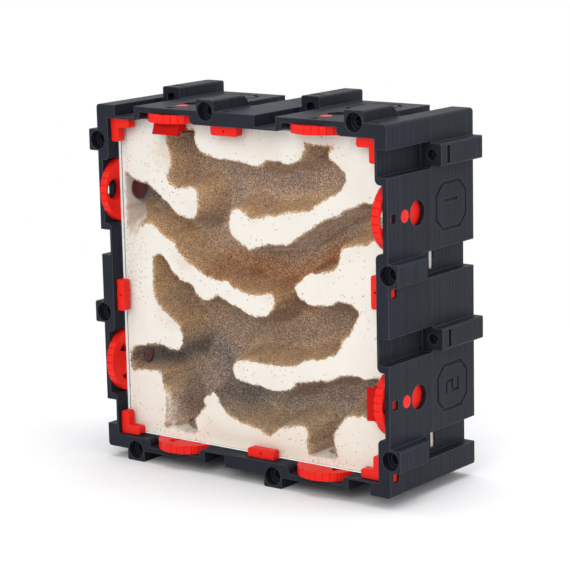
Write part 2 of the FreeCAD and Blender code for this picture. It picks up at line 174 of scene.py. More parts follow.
# What is left of the plaster's face between the tunnels: each piece's edge as (x, z) from the middle
PLASTER = {
    "top_left": [
        (-69, 69), (-43, 69), (-43, 61), (-40.5, 51), (-43, 44.5), (-41, 41), (-38, 40), (-34, 41),
        (-30.5, 42.5), (-27.5, 40.5), (-26.5, 36), (-27, 30.5), (-29, 28), (-33, 27.5), (-38, 29),
        (-44.5, 33.5), (-51, 38.5), (-55, 41), (-59, 41.5), (-63, 42.5), (-66, 45.5), (-67.5, 49),
        (-69, 52)],
    "top": [
        (-27.5, 69), (-28.5, 62.5), (-27.5, 59), (-24, 56), (-19, 54.5), (-9, 54), (-3, 53.5), (6, 52),
        (9, 54), (12, 55), (22, 55), (28, 57), (28.5, 59.5), (31, 61.5), (30, 63), (28.5, 64),
        (29.5, 69)],
    "top_right": [
        (69, 69), (26, 69), (26.5, 64.5), (31, 63.5), (36, 63), (41, 63), (43, 64), (43.5, 62.5),
        (41, 62), (41, 59.5), (42, 58), (45, 55.5), (49, 53), (49, 50), (47, 47), (39, 42), (35, 39.5),
        (30, 36.5), (21, 35.5), (14.5, 33.5), (6.5, 32.5), (1, 31), (-1, 32.5), (-4, 34.5), (-7.5, 34.5),
        (-10, 33.5), (-11.5, 30), (-11, 26.5), (-9.5, 23), (-7, 21), (-3.5, 19.5), (-1.5, 18),
        (1.5, 17.5), (4, 18.5), (7.5, 19.5), (19, 21), (24, 23.5), (30, 28), (37, 32), (44, 35), (51, 39),
        (58.5, 42), (61.5, 41.5), (69, 43)],
    "left": [
        (-69, 7), (-66.5, 9), (-63, 14.5), (-60.5, 19), (-58, 23), (-56, 24.5), (-54, 25), (-51, 23),
        (-48.5, 21.5), (-44.5, 19), (-41, 17), (-39, 14), (-36.5, 12), (-34, 10), (-27.5, 7),
        (-24.5, 5.5), (-20, 4), (-15.5, 3.5), (-12.5, 4), (-9.5, 1.5), (-3, -0.5), (4, -0.5), (9.5, 1),
        (13, -1), (13.5, -3), (12, -5.5), (11, -7.5), (8, -10), (3.5, -10.5), (-0.5, -10.5), (-6, -8.5),
        (-13, -6), (-17, -4), (-18, -3.5), (-20.5, -6), (-24, -6.5), (-27, -6.5), (-29, -4.5), (-32, -1),
        (-34, 0), (-38, 0.5), (-42, 3.5), (-44, 6.5), (-47, 10), (-50, 11), (-52.5, 9), (-53, 1),
        (-52, -9), (-49, -11.5), (-45.5, -14), (-42.5, -16.5), (-39, -18), (-38, -21.5), (-36.5, -24),
        (-37, -26.5), (-40, -30), (-42.5, -30), (-46, -30), (-49, -29), (-57.5, -29), (-59, -30.5),
        (-62.5, -30.5), (-64.5, -31.5), (-66, -33), (-69, -34)],
    "right": [
        (69, 30), (62, 27.5), (59.5, 26), (57, 25), (49, 24), (47, 23), (46.5, 20.5), (44.5, 15.5),
        (43, 14), (40, 12.5), (31, 11), (28, 9.5), (24, 6), (23, 4), (23.5, 2), (25, 0), (30, -2.5),
        (36, -3), (40, -2), (44, 0), (50, 0), (54, -2.5), (55.5, -3.5), (54, -6), (50, -11.5),
        (44.5, -18), (42.5, -21.5), (37, -23.5), (27.5, -25.5), (21, -28.5), (16, -29.5), (-0.5, -29),
        (-7, -29.5), (-9.5, -30), (-10.5, -32), (-11, -34), (-10.5, -36), (-9, -38.5), (-6, -39),
        (3, -40), (10, -41.5), (14, -41), (19, -40), (20.5, -38.5), (23, -36.5), (30.5, -35), (39, -33),
        (46, -31), (51.5, -29.5), (54, -29.5), (56.5, -30.5), (63, -29), (69, -29)],
    "bottom_left": [
        (-69, -41.5), (-61, -41), (-53, -40), (-49.5, -41), (-50, -45.5), (-48.5, -48), (-47, -50),
        (-47, -53), (-47.5, -56.5), (-48.5, -62), (-49, -65), (-49.5, -69), (-69, -69)],
    "bottom": [
        (-31, -69), (-31.5, -64.5), (-32.5, -60), (-32, -58), (-30, -56.5), (-27, -53), (-27.5, -50),
        (-25.5, -48), (-21, -45), (-19.5, -46.5), (-18.5, -49), (-14.5, -53.5), (-11, -55), (-7.5, -56.5),
        (-3, -56.5), (2.5, -58.5), (8.5, -60), (12.5, -57), (20, -54), (27, -53.5), (28, -55),
        (28.5, -58.5), (27.5, -60), (28.5, -62), (29, -65.5), (31, -69)],
    "bottom_right": [
        (43.5, -69), (42.5, -64), (41.5, -59), (41, -56.5), (42, -54.5), (43.5, -51.5), (47.5, -47),
        (50.5, -46), (56, -45), (69, -47), (69, -69)],
}

# Painted strokes: strength, radius, how softly the edge ends, and the run's (x, z) points from the middle.
# Where the plaster slopes down gently: the bowl under one port, beside two others and a worn patch
GENTLE = [
    (1, 4, 6, [(-68, 10), (-61, 22)]),
    (0.7, 2, 3, [(-67, -33), (-67, -42)]),
    (0.5, 3, 4, [(-69, 51), (-66, 48)]),
    (1, 4, 4, [(-45, -49), (-45, -62)]),
]

# Where no sand is left: the front of the wall at the upper left port, then the bowl under that port, its
# edge, and the ledges of the two lowest ends
BARE_WALL = [
    (1, 2.8, 1, [(-68, 52), (-68, 8)]),
]
BARE = [
    (1, 15.6, 1.5, [(-72, 11), (-72, 6)]),
    (1, 2.2, 1, [(-66, 20), (-60.5, 22)]),
    (1, 4.2, 1.5, [(-46, -68), (-28, -68)]),
    (1, 5.0, 1.5, [(33, -69), (48, -69)]),
]

# Where the plaster shows between the grains
SPRINKLED = [
    (0.56, 3.5, 6, [(-47, -51), (-46, -57), (-47, -63)]),
    (0.48, 3, 4, [(-35, 66), (-35, 63)]),
    (0.5, 3, 4, [(-7, 19), (4, 17), (20, 19), (32, 27), (52, 38)]),
    (0.3, 4, 3, [(36, 66), (36, 63)]),
]

# Sand that is rusty, and grey sand painted as shade under the plaster's edges
RUSTY = [
    (1, 5.0, 4.5, [(-22, 8.5), (-4, 7), (12, 6), (28, 12), (38, 18)]),
    (1, 4.0, 3.5, [(18, 4), (19, -6)]),
]
SHADE_GREY = [
    (1, 6, 9, [(-42, -27), (-28, -32), (-24, -44), (-12, -48)]),
    (0.5, 4, 6, [(-18, 38), (-18, 28)]),
    (0.7, 3, 6, [(-47, 8), (-44, 0), (-34, -10)]),
    (1, 4, 4, [(-65, -36), (-50, -35)]),
    (1, 4, 4, [(-66, 36), (-58, 32)]),
]

# Stains on the plaster: down the wall at the upper left port, behind the face, and two on the face
WALL_STAIN = [
    (0.5, 7, 2, [(-68, 50), (-68, 10)]),
]
FACE_STAINS = [
    (0.35, 3, 8, [(0, 61), (12, 60)]),
    (0.3, 2, 6, [(-24, -62), (24, -67)]),
]

# Loose grains on the plaster: most, how fast they thin out over a millimetre, and as many where it is bare
GRAINS_MOST = 0.6
GRAINS_THIN = 0.22
GRAINS_BARE = 0.36

# Painted shade round a port's mouth, for the shadow in its bore: how far past it, over what distance it
# fades, and most
PORT_SHADE_PAST = 1.2
PORT_SHADE_FADE = 0.8
PORT_SHADE_MOST = 0.9

# ---------------------------------------------------------------- looks

WHITE = (1, 1, 1, 1)
TONE = "tone"

# Printed plastics: two tones, roughness, how pale worn edges are, with a painted highlight, gloss, and the
# heights of a layer and the radius of an edge in millimetres
BLACK_PRINT = {"dark": (0.005, 0.006, 0.0095), "light": (0.027, 0.0305, 0.0435), "rough": 0.5, "wear_and_highlight": 4.0,
               "gloss": 0.1, "layer": 0.25, "soft": 0.5}
WHEEL_PRINT = {"dark": (0.8, 0.013, 0.008), "light": (0.96, 0.022, 0.012), "rough": 0.38, "wear_and_highlight": 0.6,
               "gloss": 0.15, "layer": 0.25, "soft": 0.25}
CLIP_PRINT = {**WHEEL_PRINT, "rough": 0.36, "soft": 0.45}
LOCK_PRINT = {"dark": (0.42, 0.004, 0.003), "light": (0.64, 0.008, 0.005), "rough": 0.62, "wear_and_highlight": 0.6,
              "gloss": 0.1, "layer": 0.5, "soft": 0.4}

# Painted shade on the wheels' faces in the ports: wine on those of the upright sides, mauve on those of the
# level ones
WINE_SHADE = (0.17, 0.022, 0.032)
MAUVE_SHADE = (0.42, 0.25, 0.24)
WHEEL_SHADE_SHARE = 0.9

# How the tones of a print spread, how its worn edges pale with a painted highlight, and how finely edges are
# rounded
TONE_SPREAD = 2.4
WORN_HIGHLIGHT_GAIN = 1.3
WORN_HIGHLIGHT_LIFT = 0.07
BEVEL_SAMPLES = 6

# Noises in the materials: features per metre, detail and roughness
NOISES = {
    "bands": (900, 3, 0.65),
    "wide_bands": (160, 2, 0.5),
    "blotches": (60, 4, 0.6),
    "print_grain": (2600, 2, 0.6),
    "mottle": (42, 4, 0.55),
    "plaster_fine": (900, 3, 0.6),
    "damp": (30, 3, 0.6),
    "speckled": (45, 2, 0.5),
    "grit": (1500, 2, 0.6),
    "bare": (1200, 4, 0.75),
    "smear": (25, 3, 0.5),
    "frost": (1500, 2, 0.5),
    "scratch": (1800, 3, 0.6),
    "floor": (40, 3, 0.5),
}

# Plaster: tones, and the damp stain low down with the heights in metres between which it fades
PLASTER_TONES = [(0.3, (0.8, 0.725, 0.65)), (0.48, (0.835, 0.775, 0.715)), (0.6, (0.82, 0.755, 0.685)),
                 (0.75, (0.75, 0.635, 0.54))]
DAMP = (0.78, 0.62, 0.5)
DAMP_FADE = [(0.012, (1, 1, 1)), (0.05, (0, 0, 0))]
DAMP_SHARE = 0.9

# Specks: cells per metre, share of the cells without one, and size in a cell; and where they gather
SPECKS = ((260.0, 0.72, 0.1), (520.0, 0.84, 0.16), (1100.0, 0.9, 0.3))
SPECKLED_FROM = 0.46
SPECK_SHARE = 0.75
SPECK = (0.24, 0.17, 0.13)

# Grains lying on the plaster, its stain, and the painted shade in the ports
LOOSE_CELLS = 2600.0
LOOSE_TONES = [(0.0, (0.2, 0.12, 0.07)), (1.0, (0.62, 0.45, 0.3))]
LOOSE_SHARE = 0.9
PLASTER_STAIN = (0.68, 0.52, 0.41)
PORT_SHADE = (0.25, 0.205, 0.205)

# Sand: grains per metre, and the tones of the grains by kind
SAND_CELLS = 3000.0
PLAIN_SAND = [(0.0, (0.14, 0.088, 0.06)), (0.3, (0.31, 0.198, 0.128)), (0.7, (0.43, 0.282, 0.188)),
              (1.0, (0.74, 0.55, 0.4))]
OCHRE_SAND = [(0.0, (0.25, 0.14, 0.058)), (0.4, (0.57, 0.34, 0.16)), (1.0, (0.92, 0.63, 0.37))]
RUSTY_SAND = [(0.0, (0.13, 0.043, 0.012)), (0.4, (0.35, 0.138, 0.045)), (1.0, (0.6, 0.28, 0.1))]
GREY_SAND = [(0.0, (0.075, 0.056, 0.048)), (0.5, (0.186, 0.138, 0.114)), (1.0, (0.42, 0.33, 0.275))]

# Pale and dark single grains: where in the cells' range they begin, how strong they are, and their colour
PALE_GRAIN = (0.955, 0.75, (0.8, 0.68, 0.54))
DARK_GRAIN = (0.07, 0.7, (0.05, 0.035, 0.028))

# The sand's tint by height in metres, painted light that darkens and blues it low down, and the plaster that
# shows through
HEIGHT_PAINTED_LIGHT = [(0.03, (0.74, 0.75, 0.8)), (0.065, (0.78, 0.72, 0.65)), (0.088, (0.89, 0.83, 0.75)),
               (0.125, (1.0, 0.98, 1.0))]
BARE_SHARE = 0.85
BARE_TONE = (0.74, 0.6, 0.53)

# The pane: the cut edge faces less along Y than this, and its back strip is darker, a painted shadow of the
# gap behind it, from this far in front of the nest's face, in millimetres
CUT_FACING = 0.6
CUT_SHADOW_STRIP = 0.8
CUT_FRONT = (0.86, 0.88, 0.89)
CUT_BACK_SHADOW = (0.3, 0.3, 0.3)
SHEET = (0.985, 0.99, 0.99, 1)
SHEET_SHADOW = (0.97, 0.975, 0.975, 1)
SHEET_IOR = 1.49
MIRROR_IOR = 1.2

STEEL_TONES = [(0.3, (0.5, 0.5, 0.5)), (0.7, (0.75, 0.74, 0.72))]

# ---------------------------------------------------------------- studio and camera, in metres and watts

LIT_PLACE = (0, 0, 0.08)
LIGHTS = {
    "key": {"place": (0.3, -1.15, 0.8), "size": (0.9, 0.9), "power": 6.2},
    "fill_right": {"place": (1.35, 0.25, 0.45), "size": (0.8, 0.9), "power": 5},
    "top": {"place": (0.05, 0.1, 1.2), "size": (1.1, 1.1), "power": 9.5},
}
SKY = (0.97, 0.98, 1.0, 1)
SKY_STRENGTH = 0.53

# The floor, and the distances from the object between which it turns from matt to plain white
FLOOR_HALF = 4
FLOOR_THICK = 0.01
FLOOR_TONES = [(0.3, (0.95, 0.95, 0.955)), (0.7, (0.97, 0.97, 0.97))]
FLOOR_FADE = [(0.13, (0, 0, 0)), (0.34, (1, 1, 1))]

# The camera's place, its turn about Z, its tilt from straight down and its roll in degrees, and its lens
CAMERA_PLACE = (0.56876, -0.73538, 0.26566)
CAMERA_TURN = 37.6529
CAMERA_TILT = 78.6408
CAMERA_ROLL = -1.2576
SENSOR_WIDE = 36
LENS = 141.97
CLIP_START = 0.01


# ---------------------------------------------------------------- material helpers

class Nodes:
    """A short way to build a node tree."""

    def __init__(self, owner, output="ShaderNodeOutputMaterial"):
        self.owner = owner
        owner.use_nodes = True
        self.tree = owner.node_tree
        self.tree.nodes.clear()
        self.out = self.tree.nodes.new(output)

    def add(self, kind, props=None, **inputs):
        node = self.tree.nodes.new(kind)
        for key, value in (props or {}).items():
            setattr(node, key, value)
        for key, value in inputs.items():
            self.set(node, key.replace("_", " "), value)
        return node

    def set(self, node, key, value):
        socket = node.inputs[int(key)] if key.isdigit() else node.inputs[key]
        if isinstance(value, bpy.types.NodeSocket):
            self.tree.links.new(value, socket)
        else:
            socket.default_value = value

    def math(self, operation, a, b=None, clamp=False):
        node = self.add("ShaderNodeMath", {"operation": operation, "use_clamp": clamp})
        self.set(node, "0", a)
        if b is not None:
            self.set(node, "1", b)
        return node.outputs[0]

    def weighted(self, *parts):
        """The sum of values, each times its weight."""
        total, *others = [self.math("MULTIPLY", value, weight) for value, weight in parts]
        for other in others:
            total = self.math("ADD", total, other)
        return total

    def swing(self, value, gain):
        """How far a share lies from its middle, times a gain."""
        return self.math("MULTIPLY", self.math("SUBTRACT", value, 0.5), gain)

    def measure(self, operation, a, b=None):
        """A number from vectors: their dot product or a length."""
        node = self.add("ShaderNodeVectorMath", {"operation": operation})
        self.set(node, "0", a)
        if b is not None:
            self.set(node, "1", b)
        return node.outputs["Value"]

    def noise(self, name, coords, dims="3D"):
        scale, detail, rough = NOISES[name]
        node = self.add("ShaderNodeTexNoise", {"noise_dimensions": dims}, Scale=scale, Detail=detail,
                        Roughness=rough)
        self.set(node, "W" if dims == "1D" else "Vector", coords)
        return node.outputs["Fac"]

    def cells(self, scale, coords):
        """Random cells: a colour for each and the distance from its middle."""
        return self.add("ShaderNodeTexVoronoi", {"feature": "F1"}, Vector=coords, Scale=scale).outputs

    def ramp(self, fac, stops):
        node = self.add("ShaderNodeValToRGB")
        self.set(node, "Fac", fac)
        ramp = node.color_ramp
        while len(ramp.elements) < len(stops):
            ramp.elements.new(0.5)
        for element, (place, colour) in zip(ramp.elements, stops):
            element.position = place
            element.color = (*colour, 1)
        return node.outputs["Color"]

    def mix(self, fac, a, b, blend="MIX"):
        node = self.add("ShaderNodeMix", {"data_type": "RGBA", "blend_type": blend})
        for socket, value in (("0", fac), ("6", a), ("7", b)):
            self.set(node, socket, (*value, 1) if isinstance(value, tuple) else value)
        return node.outputs[2]

    def mix_shader(self, fac, a, b):
        node = self.add("ShaderNodeMixShader", None, Fac=fac)
        self.set(node, "1", a.outputs[0])
        self.set(node, "2", b.outputs[0])
        return node

    def bump(self, height, strength, deep, normal=None):
        """The normal bent by a height that is this deep, in millimetres."""
        node = self.add("ShaderNodeBump", Strength=strength, Distance=deep * MM, Height=height)
        if normal is not None:
            self.set(node, "Normal", normal)
        return node.outputs["Normal"]

    def coords(self):
        return self.add("ShaderNodeTexCoord").outputs["Object"]

    def axis(self, coords, index):
        return self.add("ShaderNodeSeparateXYZ", None, Vector=coords).outputs[index]

    def normal(self):
        return self.add("ShaderNodeNewGeometry").outputs["Normal"]

    def shares(self):
        """The four shares that paint() keeps in each vertex."""
        kept = self.add("ShaderNodeAttribute", {"attribute_name": TONE}).outputs
        parts = self.add("ShaderNodeSeparateColor", None, Color=kept["Color"]).outputs
        return parts[0], parts[1], parts[2], kept["Alpha"]

    def seen(self):
        """1 for rays that show the surface itself, 0 for those that only carry its light."""
        path = self.add("ShaderNodeLightPath").outputs
        direct = self.math("MAXIMUM", path["Is Camera Ray"], path["Is Transmission Ray"])
        return self.math("MAXIMUM", direct, path["Is Glossy Ray"])

    def matt(self, colour, rough, gloss, normal):
        """Finish with an opaque surface."""
        return self.finish(self.add("ShaderNodeBsdfPrincipled", None, Base_Color=colour, Roughness=rough,
                                    Specular_IOR_Level=gloss, Normal=normal))

    def finish(self, shader):
        self.tree.links.new(shader.outputs[0], self.out.inputs["Surface"])
        return self.owner


def new_material(name):
    return Nodes(bpy.data.materials.new(name))


# ---------------------------------------------------------------- materials

def wheel_port_shade(n, co, out_axis):
    """1 on the inner half of a wheel, in front of the port, where painted shade stands in for the port's
    shadow.
    """
    middle = (0, 0, MIDDLE_Z)
    along_axis = Z - out_axis
    out = n.math("ABSOLUTE", n.math("SUBTRACT", n.axis(co, out_axis), middle[out_axis]))
    along = n.math("ABSOLUTE", n.math("SUBTRACT", n.axis(co, along_axis), middle[along_axis]))
    along = n.math("SUBTRACT", along, PORT_ALONG * MM)
    deep = n.math("SUBTRACT", n.axis(co, Y), FACE_Y + PORT_DEEP * MM)
    away = n.math("SQRT", n.math("ADD", n.math("MULTIPLY", along, along), n.math("MULTIPLY", deep, deep)))
    inside = n.math("LESS_THAN", out, WHEEL_SHADE_OUT * MM)
    return n.math("MULTIPLY", inside, n.math("LESS_THAN", away, WHEEL_SHADE_R * MM))


def worn_highlit_edges(n, soft, wear_and_highlight):
    """1 along the edges, which are worn and take a painted highlight, and the normal with the edges rounded.
    """
    rounded = n.add("ShaderNodeBevel", {"samples": BEVEL_SAMPLES}, Radius=soft * MM).outputs["Normal"]
    edge = n.math("SUBTRACT", 1.0, n.measure("DOT_PRODUCT", rounded, n.normal()), clamp=True)
    return n.math("MULTIPLY", edge, wear_and_highlight, clamp=True), rounded


def printed(name, axis, look, stain_and_shade=None):
    """Printed plastic with its layers along an axis: fine layers, wider bands, scuffed edges with a painted
    highlight.
    """
    n = new_material(name)
    co = n.coords()
    along = n.axis(co, axis)
    layers = n.math("SINE", n.math("MULTIPLY", along, 2 * math.pi / (look["layer"] * MM)))
    bands = n.noise("bands", along, "1D")
    blotch = n.noise("blotches", co)
    tone = n.weighted((bands, 0.55), (n.noise("wide_bands", along, "1D"), 0.2), (blotch, 0.25))
    tone = n.math("ADD", n.swing(tone, TONE_SPREAD), 0.5, clamp=True)
    edge, rounded = worn_highlit_edges(n, look["soft"], look["wear_and_highlight"])
    colour = n.mix(tone, look["dark"], look["light"])
    # Pale edges: wear and a painted highlight.
    colour = n.mix(edge, colour, tuple(min(1.0, c * WORN_HIGHLIGHT_GAIN + WORN_HIGHLIGHT_LIFT) for c in look["light"]))
    if stain_and_shade:
        # Painted shade on the wheel's face where it closes a port.
        colour = n.mix(n.math("MULTIPLY", wheel_port_shade(n, co, axis), WHEEL_SHADE_SHARE), colour, stain_and_shade)
    height = n.weighted((layers, 0.35), (bands, 1.3), (n.noise("print_grain", co), 0.5))
    rough = n.math("ADD", look["rough"], n.swing(blotch, 0.25))
    normal = n.bump(height, strength=0.45, deep=0.08, normal=rounded)
    return n.matt(colour, rough, look["gloss"], normal)


def speck_marks(n, co):
    """1 on dark specks of three sizes, which gather in places."""
    marks = 0.0
    for scale, plain, size in SPECKS:
        cells = n.cells(scale, co)
        chosen = n.math("GREATER_THAN", n.axis(cells["Color"], 0), plain)
        spots = n.math("MULTIPLY", chosen, n.math("LESS_THAN", cells["Distance"], size))
        marks = n.math("MAXIMUM", marks, spots)
    return n.math("MULTIPLY", marks, n.math("GREATER_THAN", n.noise("speckled", co), SPECKLED_FROM))


def soiled_and_shaded_plaster(n, co, colour):
    """The colour with the loose grains, stains and painted port shade that grains_stains_and_port_shade()
    spreads.
    """
    grains, port_shade, stain_and_shade, _ = n.shares()
    sandy = n.ramp(n.axis(n.cells(LOOSE_CELLS, co)["Color"], 0), LOOSE_TONES)
    loose = n.math("GREATER_THAN", grains, n.noise("grit", co))
    colour = n.mix(n.math("MULTIPLY", loose, LOOSE_SHARE), colour, sandy)
    colour = n.mix(stain_and_shade, colour, PLASTER_STAIN)
    # Painted shade on the walls of the side ports' bores.
    return n.mix(port_shade, colour, PORT_SHADE)


def plaster_material():
    n = new_material("cast_plaster")
    co = n.coords()
    mottle = n.noise("mottle", co)
    low = n.ramp(n.axis(co, Z), DAMP_FADE)
    damp = n.math("MULTIPLY", low, n.math("MULTIPLY", n.noise("damp", co), DAMP_SHARE))
    colour = n.mix(damp, n.ramp(mottle, PLASTER_TONES), DAMP)
    marks = speck_marks(n, co)
    colour = n.mix(n.math("MULTIPLY", marks, SPECK_SHARE), colour, SPECK)
    colour = soiled_and_shaded_plaster(n, co, colour)
    height = n.weighted((n.noise("plaster_fine", co), 0.6), (mottle, 0.8), (marks, -1.2))
    normal = n.bump(height, strength=0.4, deep=0.15)
    return n.matt(colour, rough=0.85, gloss=0.2, normal=normal)


def sand_colour(n, co, grains):
    """The grains' colour: four kinds by the shares of sand_tones(), and some pale and dark ones."""
    pick = n.axis(grains["Color"], 0)
    other = n.axis(grains["Color"], 1)
    ochre, rust, grey, bare = n.shares()
    colour = n.mix(grey, n.ramp(pick, PLAIN_SAND), n.ramp(pick, GREY_SAND))
    colour = n.mix(ochre, colour, n.ramp(pick, OCHRE_SAND))
    colour = n.mix(rust, colour, n.ramp(pick, RUSTY_SAND))
    for operation, (limit, share, tone) in (("GREATER_THAN", PALE_GRAIN), ("LESS_THAN", DARK_GRAIN)):
        chosen = n.math(operation, other, limit)
        colour = n.mix(n.math("MULTIPLY", chosen, share), colour, tone)
    # Painted light: the sand darker and bluer low down, lighter towards the top.
    colour = n.mix(1.0, colour, n.ramp(n.axis(co, Z), HEIGHT_PAINTED_LIGHT), "MULTIPLY")
    shown = n.math("GREATER_THAN", bare, n.noise("bare", co))
    return n.mix(n.math("MULTIPLY", shown, BARE_SHARE), colour, BARE_TONE)


def sand_material():
    n = new_material("loose_sand")
    co = n.coords()
    grains = n.cells(SAND_CELLS, co)
    height = n.weighted((grains["Distance"], -1.0), (n.noise("grit", co), 1.0))
    normal = n.bump(height, strength=0.5, deep=0.15)
    return n.matt(sand_colour(n, co, grains), rough=0.8, gloss=0.25, normal=normal)


def clear_sheet(n, co):
    """Refracts and mirrors, and lets the lamps' light through to the nest."""
    smear = n.math("MULTIPLY", n.noise("smear", co), 0.02)
    through = n.add("ShaderNodeBsdfRefraction", None, Color=SHEET, IOR=SHEET_IOR, Roughness=smear)
    mirror = n.add("ShaderNodeBsdfAnisotropic", None, Color=WHITE, Roughness=smear)
    glancing = n.add("ShaderNodeFresnel", None, IOR=MIRROR_IOR).outputs[0]
    sheet = n.mix_shader(glancing, through, mirror)
    shadow = n.add("ShaderNodeLightPath").outputs["Is Shadow Ray"]
    return n.mix_shader(shadow, sheet, n.add("ShaderNodeBsdfTransparent", None, Color=SHEET_SHADOW))


def frosted_cut(n, co):
    """The sawn edge of the sheet, with a painted glow for the light it gathers and a painted shadow on its
    back strip.
    """
    # Painted shadow: the back strip of the cut is darker, for the gap behind it.
    shadow_strip = n.math("GREATER_THAN", n.axis(co, Y), FACE_Y - CUT_SHADOW_STRIP * MM)
    cut = n.mix(shadow_strip, CUT_FRONT, CUT_BACK_SHADOW)
    rough_normal = n.bump(n.noise("frost", co), strength=0.3, deep=0.05)
    # Painted light: the cut edge glows in its own colour, for the light carried through the sheet.
    return n.add("ShaderNodeBsdfPrincipled", None, Base_Color=cut, Roughness=0.4, Normal=rough_normal,
                 Emission_Color=cut, Emission_Strength=0.3)


def pane_material():
    """Clear sheet with a frosted cut edge."""
    n = new_material("clear_sheet")
    co = n.coords()
    facing = n.math("ABSOLUTE", n.axis(n.normal(), Y))
    edge = n.math("LESS_THAN", facing, CUT_FACING)
    return n.finish(n.mix_shader(edge, clear_sheet(n, co), frosted_cut(n, co)))


def steel_material():
    n = new_material("zinc_plated_steel")
    scratch = n.noise("scratch", n.coords())
    rough = n.math("ADD", 0.2, n.math("MULTIPLY", scratch, 0.2))
    return n.finish(n.add("ShaderNodeBsdfPrincipled", None, Base_Color=n.ramp(scratch, STEEL_TONES),
                          Metallic=1.0, Roughness=rough, Normal=n.bump(scratch, strength=0.2, deep=0.03)))


def floor_material():
    """White all over; near the object it is a matt surface that takes the shadow."""
    n = new_material("pale_floor")
    co = n.coords()
    matt = n.add("ShaderNodeBsdfDiffuse", None, Color=n.ramp(n.noise("floor", co), FLOOR_TONES))
    white = n.add("ShaderNodeEmission", None, Color=WHITE, Strength=1.0)
    far = n.ramp(n.measure("LENGTH", co), FLOOR_FADE)
    return n.finish(n.mix_shader(n.math("MULTIPLY", n.seen(), far), matt, white))


# ---------------------------------------------------------------- places on the nest

def between(table, u, v, ease):
    """The table's value at a place between its rows and columns."""
    i, j = np.floor(u).astype(int), np.floor(v).astype(int)
    s, t = ease(u - i), ease(v - j)
    low = table[i, j] * (1 - s) + table[i + 1, j] * s
    high = table[i, j + 1] * (1 - s) + table[i + 1, j + 1] * s
    return low * (1 - t) + high * t


def waves(x, z, name):
    """Smooth noise from -1 to 1."""
    size, seed = WAVES[name]
    table = np.random.default_rng(seed).uniform(-1, 1, (WAVE_TABLE, WAVE_TABLE))
    half = WAVE_TABLE // 2
    return between(table, x / size + half, z / size + half, lambda s: s * s * (3 - 2 * s))


def inside_run(x, z, first, last):
    """How far a point lies inside the tapered stroke between two points of a run."""
    (x1, z1, r1), (x2, z2, r2) = first, last
    dx, dz = x2 - x1, z2 - z1
    along = np.clip(((x - x1) * dx + (z - z1) * dz) / (dx * dx + dz * dz), 0, 1)
    away = np.hypot(x - x1 - along * dx, z - z1 - along * dz)
    return r1 + (r2 - r1) * along - away


def outside_outline(x, z, outline):
    """Distance to a closed outline, negative inside it."""
    away = np.full_like(x, 999.0)
    inside = np.zeros(x.shape, bool)
    for (x1, z1), (x2, z2) in zip(outline, outline[1:] + outline[:1]):
        away = np.minimum(away, -inside_run(x, z, (x1, z1, 0), (x2, z2, 0)))
        if z1 != z2:
            crossing = (z1 > z) != (z2 > z)
            inside ^= crossing & (x < x1 + (z - z1) * (x2 - x1) / (z2 - z1))
    return np.where(inside, -away, away)


def from_rim(x, z):
    """Distance from where the tunnels stop at the rim, positive inside."""
    return np.minimum(np.minimum(x - LEFT_END, RIGHT_END - x), np.minimum(z - LOW_END, HIGH_END - z))


@functools.cache
def edge_field():
    """Distance from the nearest plaster edge on a grid, positive in the tunnels."""
    line = np.arange(-FIELD_HALF, FIELD_HALF + FIELD_STEP, FIELD_STEP)
    x, z = np.meshgrid(line, line, indexing="ij")
    best = from_rim(x, z)
    for outline in PLASTER.values():
        best = np.minimum(best, outside_outline(x, z, outline))
    return best


def tunnel_depth_in(x, z):
    """Distance from the nearest plaster edge, positive in the tunnels."""
    far = FIELD_HALF - FIELD_STEP
    u, v = ((np.clip(value, -far, far) + FIELD_HALF) / FIELD_STEP for value in (x, z))
    return between(edge_field(), u, v, lambda s: s)


def warped_inside(x, z):
    """The distance with the outline's corners worn round and its edge ragged."""
    warp_x = x + EDGE_WARP * waves(x, z, "warp_x") + EDGE_WARP * waves(x, z, "warp_x_fine")
    warp_z = z + EDGE_WARP * waves(x, z, "warp_z") + EDGE_WARP * waves(x, z, "warp_z_fine")
    steps = ((EDGE_BLUR, 0), (-EDGE_BLUR, 0), (0, EDGE_BLUR), (0, -EDGE_BLUR))
    near = [tunnel_depth_in(warp_x + dx, warp_z + dz) for dx, dz in steps]
    return sum(near) / len(near) + EDGE_GRIT * waves(x, z, "edge_grit")


def painted(x, z, strokes):
    """The strongest of the strokes at each place."""
    best = np.zeros_like(x)
    for strength, radius, soft, points in strokes:
        near = np.full_like(x, -99.0)
        for (x1, z1), (x2, z2) in zip(points, points[1:]):
            near = np.maximum(near, inside_run(x, z, (x1, z1, radius), (x2, z2, radius)))
        best = np.maximum(best, strength * np.clip(near / soft + 0.5, 0, 1))
    return best


def bared(x, deep, z):
    """1 where no sand is left."""
    wall = painted(x, z, BARE_WALL) * np.clip((BARE_DEEP - deep) / BARE_FADE, 0, 1)
    return np.maximum(wall, painted(x, z, BARE))


def port_distance(x, deep, z):
    """Distance from the nearest port's axis."""
    along = np.where(np.abs(x) > np.abs(z), np.abs(z), np.abs(x))
    return np.hypot(along - PORT_ALONG, deep - PORT_DEEP)


# ---------------------------------------------------------------- meshes

def linked(name, mesh):
    obj = bpy.data.objects.new(name, mesh)
    bpy.context.scene.collection.objects.link(obj)
    return obj


def from_bmesh(name, work):
    mesh = bpy.data.meshes.new(name)
    work.to_mesh(mesh)
    work.free()
    return linked(name, mesh)


def box_object(name, low, high):
    work = bmesh.new()
    bmesh.ops.create_cube(work, size=1.0)
    for vertex in work.verts:
        vertex.co = Vector([(a + b) / 2 + v * (b - a) for a, b, v in zip(low, high, vertex.co)])
    return from_bmesh(name, work)


